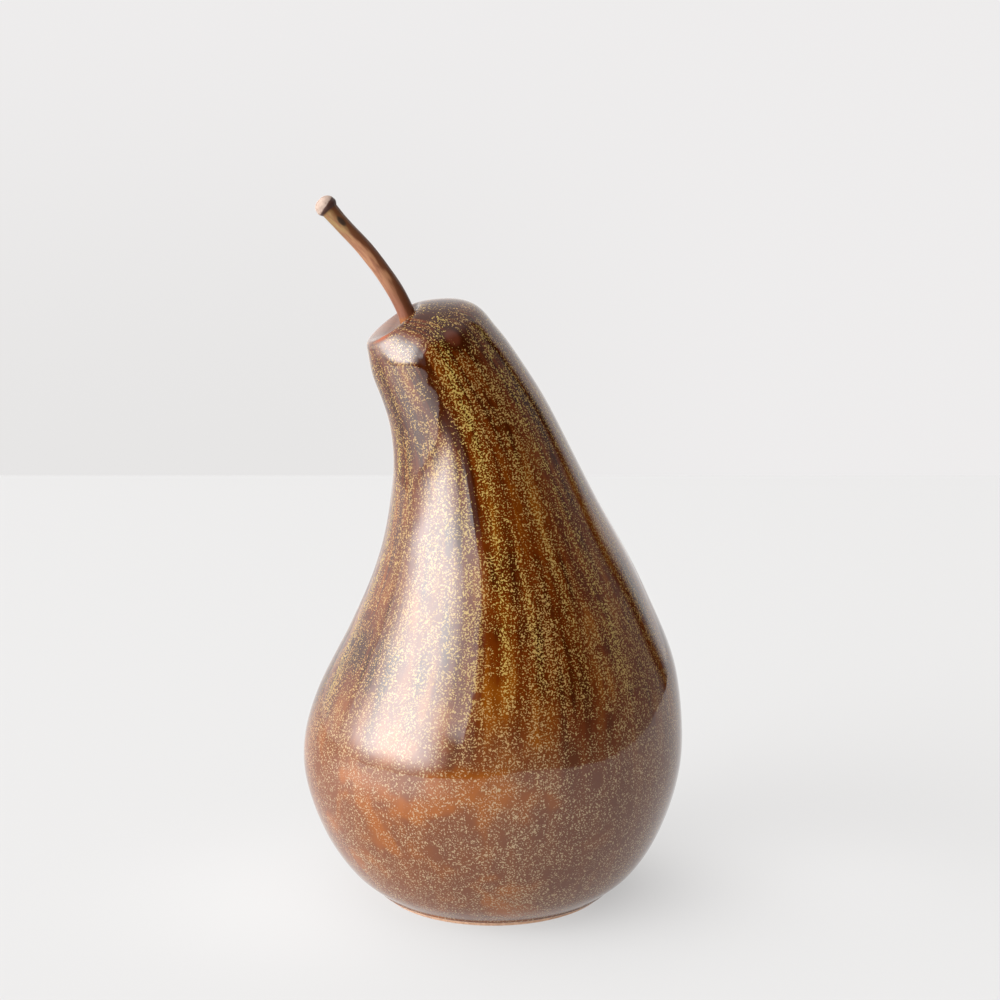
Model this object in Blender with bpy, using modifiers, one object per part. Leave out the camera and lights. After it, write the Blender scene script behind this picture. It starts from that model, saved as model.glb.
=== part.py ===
"""Glazed stoneware pear ornament with a dried pear stalk set in its crown.

The body is one hollow slip-cast shell. Its turned pear outline, wall and foot are one profile, screwed
through a full turn and then settled along a core line, which lets the neck nod over to -X. The stalk
stands in a blind socket bored into the crown along the stalk's own foot. Metres, +Z up, with the origin
on the table at the centre of the foot ring.
"""
import math

import bmesh
import bpy
from mathutils import Vector

MM = 0.001
MERGE_DISTANCE = 0.01 * MM
SHARP_EDGE_DEGREES = 40.0

# Body outline: (radius, height up the core line) in mm, from the dimple out over the lip to the foot.
DIMPLE_FLOOR = (0.0, 161.8)
CROWN = ((2.8, 162.0), (5.7, 165.2), (8.4, 166.8), (12.5, 163.4), (16.5, 157.7))
SIDE = ((18.1, 150.0), (19.8, 140.0), (24.0, 122.0), (29.7, 104.0), (40.5, 80.0), (49.5, 58.0),
        (52.0, 38.0), (47.3, 20.0), (40.1, 8.0), (32.0, 1.0))
OUTLINE_STEPS = 3

# Foot ring, recess and the hole that the slip was poured and the kiln gases vented through.
FOOT_OUTER_RADIUS = 31.0
FOOT_INNER_RADIUS = 24.5
RECESS_RADIUS = 23.0
RECESS_DEPTH = 2.0
POUR_HOLE_RADIUS = 7.0

# Hollow: the wall follows the outside, with a flat floor and a domed top under the solid crown.
WALL = 5.0
WALL_POINTS_SKIPPED = 2
FLOOR_HEIGHT = 7.0
HOLLOW_SIDE_FROM = 12.0
HOLLOW_SIDE_TO = 132.0
HOLLOW_TOP = 146.0
FILLET_STEPS = 3
FILLET_WIDTH = 1.6      # how far the fillet runs in across the floor, as a multiple of its height
DOME_STEPS = 4

# Core line: (height up the core, shift towards +X, tilt towards -X and nod towards -Y in degrees).
CORE = ((0.0, 0.0, 0.0, 0.0), (22.0, -0.4, 0.0, 0.0), (44.0, 0.0, 1.0, 0.0), (68.0, 1.5, 4.0, 0.0),
        (92.0, 0.5, 9.0, 0.0), (114.0, -2.5, 12.5, 0.0), (134.0, -7.4, 20.0, 0.0), (150.0, -14.4, 30.0, 2.0),
        (160.0, -20.1, 33.0, 3.5), (168.0, -27.3, 36.0, 5.0))
CORE_STEP = 1.0
TURN_STEPS = 48

# Stalk: where it leaves the dimple, then (distance above that, lean towards -X) and (distance, radius).
STALK_FOOT = (-22.0, -0.9, 157.3)
STALK_LEAN = ((0.0, 12.0), (5.0, 24.0), (13.0, 32.5), (21.0, 38.0), (30.0, 43.5), (40.0, 41.0))
STALK_SHAFT_RADII = ((-10.0, 2.3), (0.0, 2.4), (8.0, 2.3), (16.0, 2.25), (26.0, 2.25), (33.0, 2.35),
                     (36.6, 2.45))
STALK_KNOB_RADII = ((37.2, 2.95), (38.2, 3.15), (39.4, 2.95), (40.0, 2.2))
STALK_BURIED = 10.0
STALK_STEP = 2.0
STALK_BEVEL_RESOLUTION = 3
SOCKET_GAP = 0.3
SOCKET_RADIUS = 2.7
SOCKET_ABOVE_FOOT = 12.0
SOCKET_SIDES = 24


def hermite(start, end, slope_start, slope_end, span, share):
    """Point a share of the way from start to end on a cubic with the given slopes."""
    s2 = share * share
    s3 = s2 * share
    return (start * (2 * s3 - 3 * s2 + 1) + slope_start * (span * (s3 - 2 * s2 + share))
            + end * (3 * s2 - 2 * s3) + slope_end * (span * (s3 - s2)))


def inner_slope(before, here, after, span_before, span_after):
    """Slope at a station from the chords on its two sides."""
    chord_before = (here - before) / span_before
    chord_after = (after - here) / span_after
    return (chord_before * span_after + chord_after * span_before) / (span_before + span_after)


def station_value(stations, column, distance):
    """Smooth value of one column of a station list, level at the first station."""
    last = len(stations) - 1
    index = 0
    while index < last - 1 and distance > stations[index + 1][0]:
        index += 1
    slopes = []
    for i in (index, index + 1):
        if i == 0:
            slopes.append(0.0)
        elif i == last:
            rise = stations[i][column] - stations[i - 1][column]
            slopes.append(rise / (stations[i][0] - stations[i - 1][0]))
        else:
            slopes.append(inner_slope(stations[i - 1][column], stations[i][column], stations[i + 1][column],
                                      stations[i][0] - stations[i - 1][0],
                                      stations[i + 1][0] - stations[i][0]))
    span = stations[index + 1][0] - stations[index][0]
    share = max(0.0, (distance - stations[index][0]) / span)
    return hermite(stations[index][column], stations[index + 1][column], slopes[0], slopes[1], span, share)


def smooth_outline(points, steps):
    """Curve through the points, with steps pieces between each pair and straight-running ends."""
    points = [Vector(p) for p in points]
    spans = [math.sqrt((b - a).length) for a, b in zip(points, points[1:])]
    chords = [(b - a) / span for a, b, span in zip(points, points[1:], spans)]
    slopes = [chords[0]]
    for i in range(1, len(points) - 1):
        slopes.append(inner_slope(points[i - 1], points[i], points[i + 1], spans[i - 1], spans[i]))
    slopes.append(chords[-1])
    curve = []
    for i, span in enumerate(spans):
        for k in range(steps):
            curve.append(hermite(points[i], points[i + 1], slopes[i], slopes[i + 1], span, k / steps))
    curve.append(points[-1])
    return curve


def hollow_outline(outside):
    """Inner wall from the pour hole over the floor and up to the domed top, all in (radius, height)."""
    wall = []
    for i in range(1, len(outside) - 1):
        along = (outside[i + 1] - outside[i - 1]).normalized()
        inward = Vector((along.y, -along.x))
        wall.append(outside[i] + inward * WALL)
    wall = [p for p in reversed(wall) if HOLLOW_SIDE_FROM < p.y < HOLLOW_SIDE_TO][::WALL_POINTS_SKIPPED]
    corner = wall[0]
    reach = corner.y - FLOOR_HEIGHT
    points = [Vector((POUR_HOLE_RADIUS, FLOOR_HEIGHT))]
    for k in range(FILLET_STEPS):
        angle = math.radians(90) * k / FILLET_STEPS
        inset = reach * FILLET_WIDTH * (1 - math.sin(angle))
        points.append(corner + Vector((-inset, -reach * math.cos(angle))))
    points += wall
    rim = wall[-1]
    for k in range(1, DOME_STEPS):
        angle = math.radians(90) * k / DOME_STEPS
        points.append(Vector((rim.x * math.cos(angle), rim.y + (HOLLOW_TOP - rim.y) * math.sin(angle))))
    points.append(Vector((0.0, HOLLOW_TOP)))
    return points


def body_profile():
    """The whole section of the shell, from the dimple down the outside, under the foot and up the inside."""
    outside = smooth_outline(CROWN + SIDE, OUTLINE_STEPS)
    foot = [Vector((FOOT_OUTER_RADIUS, 0.0)), Vector((FOOT_INNER_RADIUS, 0.0)),
            Vector((RECESS_RADIUS, RECESS_DEPTH)), Vector((POUR_HOLE_RADIUS, RECESS_DEPTH))]
    return [Vector(DIMPLE_FLOOR)] + outside + foot + hollow_outline(outside)


def core_table():
    """Core line walked in small steps: (x, y, z, tilt, nod) in mm and radians."""
    rows = [(0.0, 0.0, 0.0, 0.0, 0.0)]
    for k in range(1, int(CORE[-1][0] / CORE_STEP) + 1):
        height = k * CORE_STEP
        x = station_value(CORE, 1, height)
        tilt = math.radians(station_value(CORE, 2, height))
        nod = math.radians(station_value(CORE, 3, height))
        step_x = x - rows[-1][0]
        step_y = -math.sin(nod) * CORE_STEP
        step_z = math.sqrt(CORE_STEP ** 2 - step_x ** 2 - step_y ** 2)
        rows.append((x, rows[-1][1] + step_y, rows[-1][2] + step_z, tilt, nod))
    return rows


def core_at(rows, height):
    """Centre, tilt and nod of the section at a height up the core line."""
    index = min(int(height / CORE_STEP), len(rows) - 2)
    share = height / CORE_STEP - index
    return [a + (b - a) * share for a, b in zip(rows[index], rows[index + 1])]


def settle(mesh, rows):
    """Move a turned mesh on to the core line: each level slides and tips as one flat section."""
    for vertex in mesh.vertices:
        radial_x, radial_y, height = vertex.co / MM
        x, y, z, tilt, nod = core_at(rows, height)
        rise = radial_y * math.sin(nod)
        vertex.co = Vector((x + radial_x * math.cos(tilt) - rise * math.sin(tilt),
                            y + radial_y * math.cos(nod),
                            z + radial_x * math.sin(tilt) + rise * math.cos(tilt))) * MM


def new_collection(name):
    collection = bpy.data.collections.new(name)
    bpy.context.scene.collection.children.link(collection)
    return collection


def finish_material(name, color, roughness):
    material = bpy.data.materials.new(name)
    material.use_nodes = True
    shader = material.node_tree.nodes["Principled BSDF"]
    shader.inputs["Base Color"].default_value = (*color, 1.0)
    shader.inputs["Roughness"].default_value = roughness
    shader.inputs["Metallic"].default_value = 0.0
    return material


def evaluated_mesh(source):
    """Mesh of an object as its modifiers or bevel leave it; the source object goes."""
    depsgraph = bpy.context.evaluated_depsgraph_get()
    depsgraph.update()
    mesh = bpy.data.meshes.new_from_object(source.evaluated_get(depsgraph))
    data = source.data
    bpy.data.objects.remove(source)
    if isinstance(data, bpy.types.Curve):
        bpy.data.curves.remove(data)
    return mesh


def turned_mesh(profile, steps):
    """Screw a closed-ended profile of (radius, height) points in mm through a full turn about Z."""
    mesh = bpy.data.meshes.new("profile")
    points = [(p.x * MM, 0.0, p.y * MM) for p in profile]
    mesh.from_pydata(points, [(i, i + 1) for i in range(len(points) - 1)], [])
    blank = bpy.data.objects.new("profile", mesh)
    bpy.context.scene.collection.objects.link(blank)
    screw = blank.modifiers.new("turn", "SCREW")
    screw.axis = "Z"
    screw.angle = math.radians(360)
    screw.steps = steps
    screw.render_steps = steps
    screw.use_merge_vertices = True
    screw.merge_threshold = MERGE_DISTANCE
    return evaluated_mesh(blank)


def stalk_centre(foot, distance):
    """Point on the stalk's centre line at a distance above its foot, in mm; straight below it."""
    lean = math.radians(STALK_LEAN[0][1])
    if distance <= 0:
        return foot + Vector((-math.sin(lean), 0.0, math.cos(lean))) * distance
    pieces = max(1, math.ceil(distance))
    step = distance / pieces
    point = foot.copy()
    for k in range(pieces):
        lean = math.radians(station_value(STALK_LEAN, 1, (k + 0.5) * step))
        point += Vector((-math.sin(lean), 0.0, math.cos(lean))) * step
    return point


def stalk_stations():
    """(distance, radius) along the stalk: even steps up the shaft, then the knob's own changes of radius."""
    count = int((STALK_SHAFT_RADII[-1][0] + STALK_BURIED) / STALK_STEP)
    even = [-STALK_BURIED + STALK_STEP * k for k in range(count)] + [STALK_SHAFT_RADII[-1][0]]
    return [(distance, shaft_radius(distance)) for distance in even] + list(STALK_KNOB_RADII)


def shaft_radius(distance):
    for (low, radius_low), (high, radius_high) in zip(STALK_SHAFT_RADII, STALK_SHAFT_RADII[1:]):
        if distance <= high:
            break
    return radius_low + (radius_high - radius_low) * (distance - low) / (high - low)


def stalk_mesh(foot):
    """Round tube along the leaning centre line, its radius swelling at the foot and at the knob."""
    curve = bpy.data.curves.new("stalk_line", "CURVE")
    curve.dimensions = "3D"
    curve.bevel_depth = MM
    curve.bevel_resolution = STALK_BEVEL_RESOLUTION
    curve.use_fill_caps = True
    stations = stalk_stations()
    spline = curve.splines.new("POLY")
    spline.points.add(len(stations) - 1)
    for point, (distance, radius) in zip(spline.points, stations):
        point.co = (*(stalk_centre(foot, distance) * MM), 1.0)
        point.radius = radius
    line = bpy.data.objects.new("stalk_line", curve)
    bpy.context.scene.collection.objects.link(line)
    return evaluated_mesh(line)


def weld(mesh):
    """Join the loose caps of a tube to its side."""
    bm = bmesh.new()
    bm.from_mesh(mesh)
    bmesh.ops.remove_doubles(bm, verts=bm.verts, dist=MERGE_DISTANCE)
    bm.to_mesh(mesh)
    bm.free()


def add_part(name, mesh, collection, material):
    part = bpy.data.objects.new(name, mesh)
    collection.objects.link(part)
    mesh.materials.clear()
    mesh.materials.append(material)
    mesh.shade_smooth()
    mesh.set_sharp_from_angle(angle=math.radians(SHARP_EDGE_DEGREES))
    return part


def socket_cutter(foot, collection):
    """Drill for the stalk's blind hole, standing along the stalk's straight buried foot."""
    lean = math.radians(STALK_LEAN[0][1])
    axis = Vector((-math.sin(lean), 0.0, math.cos(lean)))
    length = STALK_BURIED + SOCKET_GAP + SOCKET_ABOVE_FOOT
    bpy.ops.mesh.primitive_cylinder_add(vertices=SOCKET_SIDES, radius=SOCKET_RADIUS * MM, depth=length * MM)
    cutter = bpy.context.object
    cutter.name = "socket_cutter"
    cutter.location = (foot + axis * (length / 2 - STALK_BURIED - SOCKET_GAP)) * MM
    cutter.rotation_euler = (0.0, -lean, 0.0)
    cutter.hide_render = True
    cutter.display_type = "WIRE"
    for owner in list(cutter.users_collection):
        owner.objects.unlink(cutter)
    collection.objects.link(cutter)
    return cutter


for old in list(bpy.data.objects):
    bpy.data.objects.remove(old)

pear = new_collection("ceramic_pear")
cutters = new_collection("cutters")
glaze = finish_material("tea_dust_glaze", (0.20, 0.075, 0.02), 0.12)
stalk_brown = finish_material("dried_stalk", (0.33, 0.17, 0.09), 0.55)

core_rows = core_table()
body_mesh = turned_mesh(body_profile(), TURN_STEPS)
settle(body_mesh, core_rows)
body = add_part("pear_body", body_mesh, pear, glaze)

stalk_foot = Vector(STALK_FOOT)
stalk = stalk_mesh(stalk_foot)
weld(stalk)
add_part("pear_stem", stalk, pear, stalk_brown)

bore = body.modifiers.new("stalk_socket", "BOOLEAN")
bore.operation = "DIFFERENCE"
bore.solver = "EXACT"
bore.object = socket_cutter(stalk_foot, cutters)
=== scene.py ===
"""Glazed stoneware pear ornament with a dried pear stalk: the finished surfaces, built around the frame.

The ornament comes first, in the order it is put together: the glazed body, then the stalk in its socket.
The table, the studio light and the camera follow. Metres in Blender; each section's own sizes are in mm.
"""
import math

import bpy
import numpy as np
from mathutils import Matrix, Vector, noise


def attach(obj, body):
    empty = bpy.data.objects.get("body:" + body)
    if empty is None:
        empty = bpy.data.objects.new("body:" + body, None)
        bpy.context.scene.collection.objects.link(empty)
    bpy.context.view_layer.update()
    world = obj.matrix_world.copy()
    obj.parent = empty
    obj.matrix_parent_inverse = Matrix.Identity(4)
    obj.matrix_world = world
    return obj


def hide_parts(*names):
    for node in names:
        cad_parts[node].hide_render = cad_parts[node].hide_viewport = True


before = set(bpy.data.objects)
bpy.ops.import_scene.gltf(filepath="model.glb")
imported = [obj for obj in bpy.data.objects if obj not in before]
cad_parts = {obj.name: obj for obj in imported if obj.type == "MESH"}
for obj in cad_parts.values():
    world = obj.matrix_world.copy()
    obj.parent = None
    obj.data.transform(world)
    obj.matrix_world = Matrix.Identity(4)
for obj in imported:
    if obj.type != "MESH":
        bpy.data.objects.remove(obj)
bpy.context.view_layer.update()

MM = 0.001

# ------------------------------------------------------------------------------------------------------
# Body: one hollow slip-cast stoneware shell on a small turned foot, with a dished crown and a blind hole
# for the stalk. The maker pours a thick brown glaze over it, which runs down in streaks of golden crystals
# and is wiped off just above the table, where it leaves a thin band of bare peach-coloured clay.

# The outline is (radius, height) pairs on a straight core, from the crown's dish down to the foot.
CROWN = ((2.8, 162.0), (5.7, 165.2), (8.4, 166.8), (12.5, 163.4), (16.5, 157.7))
SIDE = ((18.1, 150.0), (19.8, 140.0), (24.0, 122.0), (29.7, 104.0), (40.5, 80.0), (49.5, 58.0),
        (52.0, 38.0), (47.3, 20.0), (40.1, 8.0), (32.0, 1.0))
# The core leans: (height, sideways shift, tilt to the left, nod to the front), in mm and degrees.
CORE = ((0.0, 0.0, 0.0, 0.0), (22.0, -0.4, 0.0, 0.0), (44.0, 0.0, 1.0, 0.0), (68.0, 1.5, 4.0, 0.0),
        (92.0, 0.5, 9.0, 0.0), (114.0, -2.5, 12.5, 0.0), (134.0, -7.4, 20.0, 0.0), (150.0, -14.4, 30.0, 2.0),
        (160.0, -20.1, 33.0, 3.5), (168.0, -27.3, 36.0, 5.0))
CORE_STEP = 1.0
# The glaze ends in a rolled edge above the clay foot; the base, the pour hole and the floor inside follow.
GLAZE_EDGE = ((33.55, 2.15), (33.5, 1.9), (33.25, 1.66), (32.85, 1.56), (32.45, 1.6))
CLAY_FOOT = ((32.3, 1.5), (32.05, 1.1), (31.75, 0.55), (31.45, 0.16), (31.0, 0.0), (28.0, 0.0), (24.6, 0.0),
             (24.2, 0.15), (23.2, 1.75), (22.8, 2.0), (15.0, 2.0), (7.6, 2.0), (7.1, 2.3), (7.0, 4.5),
             (7.1, 6.7), (7.6, 7.0), (18.0, 7.0))
WALL = 5.0
HOLLOW_SIDE = (12.0, 132.0)
HOLLOW_TOP = 146.0
# The stalk's hole: each ring is (radius, depth below the dish), from the hole's end up to its mouth.
STALK_FOOT = (-22.0, -0.9, 157.3)
STALK_FOOT_LEAN = 12.0
SOCKET_RADIUS = 2.7
SOCKET_DEPTH = 10.3
SOCKET_RINGS = ((0.9, SOCKET_DEPTH), (SOCKET_RADIUS, SOCKET_DEPTH), (SOCKET_RADIUS, SOCKET_DEPTH / 2),
                (SOCKET_RADIUS, 0.7), (SOCKET_RADIUS + 0.12, 0.22))
SOCKET_MOUTH = SOCKET_RADIUS + 0.35
SOCKET_BLEND = 6.0
# How finely each stretch is divided.
OUTLINE_PIECES = 12
INNER_STRIDE = 4
FILLET_PIECES = 4
FILLET_WIDTH = 1.6
DOME_PIECES = 8
MERIDIANS = 300
FINE_ROW = 0.5
ROW = 0.88
FINE_ROWS_TO = 22.0


def hermite(start, end, slope_start, slope_end, span, share):
    """Point a share of the way from start to end on a cubic with the given slopes."""
    s2 = share * share
    s3 = s2 * share
    return (start * (2 * s3 - 3 * s2 + 1) + slope_start * (span * (s3 - 2 * s2 + share))
            + end * (3 * s2 - 2 * s3) + slope_end * (span * (s3 - s2)))


def inner_slope(before, here, after, span_before, span_after):
    """Slope at a station from the chords on its two sides."""
    chord_before = (here - before) / span_before
    chord_after = (after - here) / span_after
    return (chord_before * span_after + chord_after * span_before) / (span_before + span_after)


def station_value(stations, column, distance):
    """Smooth value of one column of a station list, level at the first station."""
    last = len(stations) - 1
    index = 0
    while index < last - 1 and distance > stations[index + 1][0]:
        index += 1
    slopes = []
    for i in (index, index + 1):
        if i == 0:
            slopes.append(0.0)
        elif i == last:
            rise = stations[i][column] - stations[i - 1][column]
            slopes.append(rise / (stations[i][0] - stations[i - 1][0]))
        else:
            slopes.append(inner_slope(stations[i - 1][column], stations[i][column], stations[i + 1][column],
                                      stations[i][0] - stations[i - 1][0],
                                      stations[i + 1][0] - stations[i][0]))
    span = stations[index + 1][0] - stations[index][0]
    share = max(0.0, (distance - stations[index][0]) / span)
    return hermite(stations[index][column], stations[index + 1][column], slopes[0], slopes[1], span, share)


def smooth_outline(points, steps):
    """Curve through the points, with steps pieces between each pair and straight-running ends."""
    points = [Vector(p) for p in points]
    spans = [math.sqrt((b - a).length) for a, b in zip(points, points[1:])]
    chords = [(b - a) / span for a, b, span in zip(points, points[1:], spans)]
    slopes = [chords[0]]
    for i in range(1, len(points) - 1):
        slopes.append(inner_slope(points[i - 1], points[i], points[i + 1], spans[i - 1], spans[i]))
    slopes.append(chords[-1])
    curve = []
    for i, span in enumerate(spans):
        for k in range(steps):
            curve.append(hermite(points[i], points[i + 1], slopes[i], slopes[i + 1], span, k / steps))
    curve.append(points[-1])
    return np.array(curve)


def arc_length(curve):
    return np.concatenate([[0.0], np.cumsum(np.linalg.norm(np.diff(curve, axis=0), axis=1))])


def respaced(curve, stops):
    """Points of a curve at the given distances along it."""
    along = arc_length(curve)
    return np.column_stack([np.interp(stops, along, curve[:, 0]), np.interp(stops, along, curve[:, 1])])


def core_table():
    """Core line walked in small steps: (x, y, z, tilt, nod) in mm and radians."""
    rows = [(0.0, 0.0, 0.0, 0.0, 0.0)]
    for k in range(1, int(CORE[-1][0] / CORE_STEP) + 1):
        height = k * CORE_STEP
        x = station_value(CORE, 1, height)
        tilt = math.radians(station_value(CORE, 2, height))
        nod = math.radians(station_value(CORE, 3, height))
        step_x = x - rows[-1][0]
        step_y = -math.sin(nod) * CORE_STEP
        step_z = math.sqrt(CORE_STEP ** 2 - step_x ** 2 - step_y ** 2)
        rows.append((x, rows[-1][1] + step_y, rows[-1][2] + step_z, tilt, nod))
    return np.array(rows)


def settled(radius, height, angle, core):
    """Places of (radius, height) rings once they sit on the leaning core line: an array of points in mm."""
    level = np.arange(len(core)) * CORE_STEP
    x, y, z, tilt, nod = [np.interp(height, level, core[:, k]) for k in range(5)]
    radial_x = radius * np.cos(angle)
    radial_y = radius * np.sin(angle)
    rise = radial_y * np.sin(nod)
    return np.stack([x + radial_x * np.cos(tilt) - rise * np.sin(tilt),
                     y + radial_y * np.cos(nod),
                     z + radial_x * np.sin(tilt) + rise * np.cos(tilt)], axis=-1)


def smoothstep(low, high, value):
    share = np.clip((value - low) / (high - low), 0.0, 1.0)
    return share * share * (3.0 - 2.0 * share)


def grid_normals(points):
    """Outward unit normals of a grid of points, rows running down and columns round the body."""
    round_it = np.roll(points, -1, axis=1) - np.roll(points, 1, axis=1)
    down = np.gradient(points, axis=0)
    normals = np.cross(down, round_it)
    return normals / np.maximum(np.linalg.norm(normals, axis=-1, keepdims=True), 1e-9)


SEED_SHIFT = (17.3, 5.1, 9.7)


def noise_field(points, wavelengths, seed):
    """Perlin noise at each point, with its own wavelength in mm along each axis; values about -1 to 1."""
    flat = (points / np.array(wavelengths)).reshape(-1, 3)
    offset = Vector([seed * shift for shift in SEED_SHIFT])
    values = [noise.noise(Vector(p) + offset) for p in flat.tolist()]
    return np.array(values).reshape(points.shape[:-1])


core = core_table()
outside = smooth_outline(CROWN + SIDE, OUTLINE_PIECES)
outside = outside[outside[:, 1] > GLAZE_EDGE[0][1]]
length = arc_length(outside)[-1]
fine_stops = np.arange(0.0, FINE_ROWS_TO, FINE_ROW)
stops = np.concatenate([fine_stops, np.linspace(FINE_ROWS_TO, length, int((length - FINE_ROWS_TO) / ROW))])
glazed = np.concatenate([respaced(outside, stops), GLAZE_EDGE])

along = np.gradient(outside, axis=0)
along /= np.linalg.norm(along, axis=1, keepdims=True)
inner = (outside + np.column_stack([along[:, 1], -along[:, 0]]) * WALL)[::-1]
inner = inner[(inner[:, 1] > HOLLOW_SIDE[0]) & (inner[:, 1] < HOLLOW_SIDE[1])][::INNER_STRIDE]
corner, rim = inner[0], inner[-1]
turn = np.radians(90) * np.arange(FILLET_PIECES) / FILLET_PIECES
corner_drop = corner[1] - CLAY_FOOT[-1][1]
fillet = np.column_stack([corner[0] - FILLET_WIDTH * corner_drop * (1 - np.sin(turn)),
                          corner[1] - corner_drop * np.cos(turn)])
turn = np.radians(90) * np.arange(1, DOME_PIECES) / DOME_PIECES
dome = np.column_stack([rim[0] * np.cos(turn), rim[1] + (HOLLOW_TOP - rim[1]) * np.sin(turn)])
profile = np.concatenate([glazed, CLAY_FOOT, fillet, inner, dome])
glazed_rows = len(glazed)

angles = np.arange(MERIDIANS) * 2 * math.pi / MERIDIANS
ring, ring_angle = np.meshgrid(np.arange(len(profile)), angles, indexing="ij")
points = settled(profile[ring, 0], profile[ring, 1], ring_angle, core)
normals = grid_normals(points)

# Hand-finished clay and flowing glaze: broad soft undulations, then narrow ripples that run down the side.
# Each is (size of its lumps in mm, height in mm); they die away towards the foot and the crown.
UNDULATIONS = (((38.0, 38.0, 46.0), 0.22), ((15.0, 15.0, 24.0), 0.075), ((6.5, 6.5, 48.0), 0.028))
FOOT_CALM = 14.0
CROWN_CALM = (5.0, 62.0)
row_stop = arc_length(profile)
foot_fade = smoothstep(0.0, FOOT_CALM, row_stop[glazed_rows] - row_stop)
crown_fade = smoothstep(*CROWN_CALM, row_stop)
fade = np.where(np.arange(len(profile)) < glazed_rows, foot_fade * crown_fade, 0.0)[:, None]
relief = sum(noise_field(points, size, k + 1) * height for k, (size, height) in enumerate(UNDULATIONS))
points += normals * (relief * fade)[..., None]


def degrees_apart(bearings, centre):
    """Degrees from a centre bearing, -180 to 180; bearings run from 0 in front to 90 on the right."""
    return (bearings - centre + 180.0) % 360.0 - 180.0


def patch(bearing_of, stop_of, bearing_reach, stop_reach):
    """Soft patch on the body, 1 at its centre, which is a bearing and a distance from the crown's centre."""
    across = degrees_apart(bearing, bearing_of) / bearing_reach
    down = (row_stop[:, None] - stop_of) / stop_reach
    return np.exp(-across ** 2 - down ** 2)


# The crown is a little fuller in front, below its rim.
CROWN_SWELL = (-18.0, 29.0, 30.0, 14.0)
CROWN_SWELL_HEIGHT = 0.35
bearing = degrees_apart(np.degrees(ring_angle) + 90.0, 0.0)
points += normals * patch(*CROWN_SWELL)[..., None] * CROWN_SWELL_HEIGHT

# The crown's dish runs into the stalk's hole: its inner rings are drawn in to the hole's mouth.
lean = math.radians(STALK_FOOT_LEAN)
socket_axis = np.array([-math.sin(lean), 0.0, math.cos(lean)])
socket_side = np.array([math.cos(lean), 0.0, math.sin(lean)])
socket_foot = np.array(STALK_FOOT)
dish_radius, dish_height = CROWN[0]
dish_centre = settled(np.zeros(1), np.full(1, dish_height), np.zeros(1), core)[0]
dish_rim = settled(np.full(4, dish_radius), np.full(4, dish_height), np.radians([0, 90, 180, 270]), core)
dish_normal = np.cross(dish_rim[0] - dish_rim[2], dish_rim[1] - dish_rim[3])
dish_normal /= np.linalg.norm(dish_normal)


def socket_ring(radius, sunk):
    """Ring of the stalk's hole, a distance below the dish's floor; its top ring lies on that floor."""
    side = np.outer(np.cos(angles), socket_side) + np.outer(np.sin(angles), (0.0, 1.0, 0.0))
    ring_points = socket_foot + side * radius
    climb = ((dish_centre - ring_points) @ dish_normal) / (socket_axis @ dish_normal)
    return ring_points + np.outer(climb - sunk, socket_axis)


pull = 1.0 - smoothstep(0.0, SOCKET_BLEND, row_stop)
dish_floor = settled(np.full(MERIDIANS, dish_radius), np.full(MERIDIANS, dish_height), angles, core)
points += (socket_ring(SOCKET_MOUTH, 0.0) - dish_floor) * pull[:, None, None]
BORE_STOPS = (-5.0, -0.5)
bore = np.stack([socket_ring(radius, sunk) for radius, sunk in SOCKET_RINGS])
points = np.concatenate([bore, points])
row_stop = np.concatenate([np.linspace(*BORE_STOPS, len(bore)), row_stop])
row_angle = np.tile(angles, (len(points), 1))
glazed_rows += len(bore)


def shell_mesh(name, points, v_of, clay_from=None):
    """Mesh of a grid of rings, closed by a point at each end, with a bake map; bare clay from a ring on."""
    rows, columns = points.shape[:2]
    first = points[0].mean(axis=0)
    last = points[-1].mean(axis=0)
    verts = np.concatenate([points.reshape(-1, 3), [first, last]]) * MM
    clay_from = rows if clay_from is None else clay_from
    faces, coords, zones = [], [], []
    for j in range(rows - 1):
        for i in range(columns):
            k = (i + 1) % columns
            faces.append((j * columns + i, (j + 1) * columns + i, (j + 1) * columns + k, j * columns + k))
            u0, u1 = i / columns, (i + 1) / columns
            coords += [(u0, v_of[j]), (u0, v_of[j + 1]), (u1, v_of[j + 1]), (u1, v_of[j])]
            zones.append(1 if j >= clay_from else 0)
    top, bottom = rows * columns, rows * columns + 1
    for i in range(columns):
        k = (i + 1) % columns
        faces.append((top, i, k))
        coords += [((i + 0.5) / columns, v_of[0]), (i / columns, v_of[0]), ((i + 1) / columns, v_of[0])]
        zones.append(0)
    base = (rows - 1) * columns
    for i in range(columns):
        k = (i + 1) % columns
        faces.append((bottom, base + k, base + i))
        coords += [((i + 0.5) / columns, v_of[-1]), ((i + 1) / columns, v_of[-1]), (i / columns, v_of[-1])]
        zones.append(1 if clay_from < rows else 0)
    mesh = bpy.data.meshes.new(name)
    mesh.from_pydata(verts.tolist(), [], faces)
    mesh.uv_layers.new(name="OFBake").data.foreach_set("uv", np.array(coords, dtype=np.float32).ravel())
    mesh.polygons.foreach_set("material_index", zones)
    mesh.shade_smooth()
    return mesh


# On the bake map the outside takes nearly all the height, and the hollow a narrow band below it.
HOLLOW_UV = 0.06
inside_from = len(bore) + len(glazed) + len(CLAY_FOOT)
outer_stop = row_stop[inside_from - 1]
v_rows = np.where(np.arange(len(points)) < inside_from,
                  1.0 - (row_stop - row_stop[0]) / (outer_stop - row_stop[0]) * (1.0 - HOLLOW_UV),
                  HOLLOW_UV * (1.0 - (row_stop - outer_stop) / (row_stop[-1] - outer_stop)))
body_mesh = shell_mesh("pear_body_glazed", points, v_rows.tolist(), glazed_rows - 1)


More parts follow.
